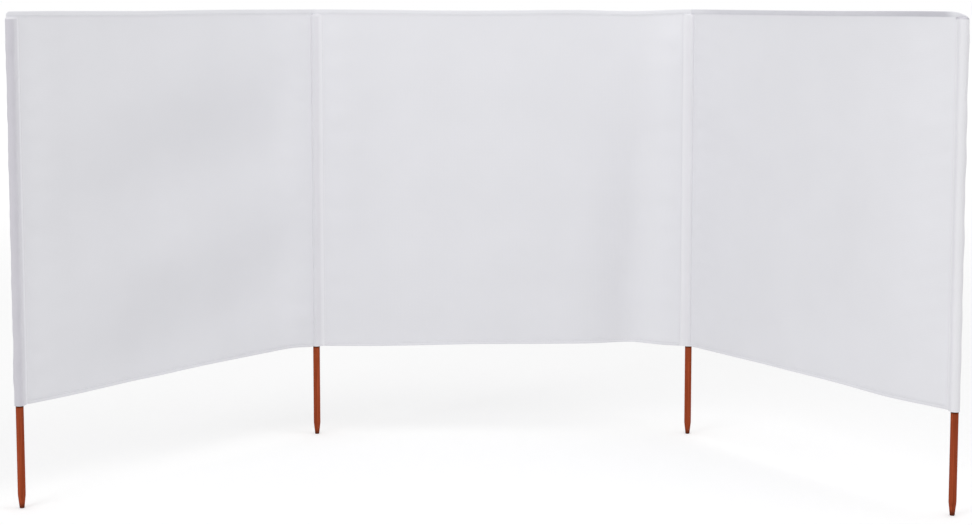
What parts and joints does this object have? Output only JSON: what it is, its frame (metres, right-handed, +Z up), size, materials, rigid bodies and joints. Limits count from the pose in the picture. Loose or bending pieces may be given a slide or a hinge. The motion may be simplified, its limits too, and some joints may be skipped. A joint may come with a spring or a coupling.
{
  "type": "beach windbreak",
  "caption": "White woven cloth windbreak on round pointed wooden poles held in sewn sleeves, its end bays swung forward of the middle bay to shelter a spot on a beach.",
  "frame": {"origin": "centre of the blunt end of the left inner pole's point", "axes": "+X along the middle bay from the left inner pole to the right inner pole, +Y away from the sheltered side that the end bays swing towards, +Z up along the poles"},
  "size_m": [2.8712, 1.1736, 1.52],
  "materials": {
    "pole_wood": "reddish brown stained pine, satin",
    "panel_cloth": "white plain woven polyester",
    "sleeve_cloth": "white plain woven polyester over the pole",
    "hem_cloth": "white plain woven polyester, folded and sewn"
  },
  "bodies": {
    "middle_bay": {"left_inner_pole": "pole_wood", "right_inner_pole": "pole_wood", "left_inner_sleeve": "sleeve_cloth", "right_inner_sleeve": "sleeve_cloth", "left_inner_sleeve_top": "sleeve_cloth", "right_inner_sleeve_top": "sleeve_cloth", "middle_panel": "panel_cloth", "middle_top_hem": "hem_cloth", "middle_bottom_hem": "hem_cloth"},
    "left_bay": {"left_end_pole": "pole_wood", "left_end_sleeve": "sleeve_cloth", "left_end_sleeve_top": "sleeve_cloth", "left_panel": "panel_cloth", "left_top_hem": "hem_cloth", "left_bottom_hem": "hem_cloth"},
    "right_bay": {"right_end_pole": "pole_wood", "right_end_sleeve": "sleeve_cloth", "right_end_sleeve_top": "sleeve_cloth", "right_panel": "panel_cloth", "right_top_hem": "hem_cloth", "right_bottom_hem": "hem_cloth"}
  },
  "joints": [
    {"name": "left_bay_swing", "type": "hinge", "parent": "middle_bay", "child": "left_bay", "pos_m": [0, 0, 0], "axis": [0, 0, 1], "range_deg": [-142, 38]},
    {"name": "right_bay_swing", "type": "hinge", "parent": "middle_bay", "child": "right_bay", "pos_m": [1.333, 0, 0], "axis": [0, 0, -1], "range_deg": [-149, 31]}
  ]
}
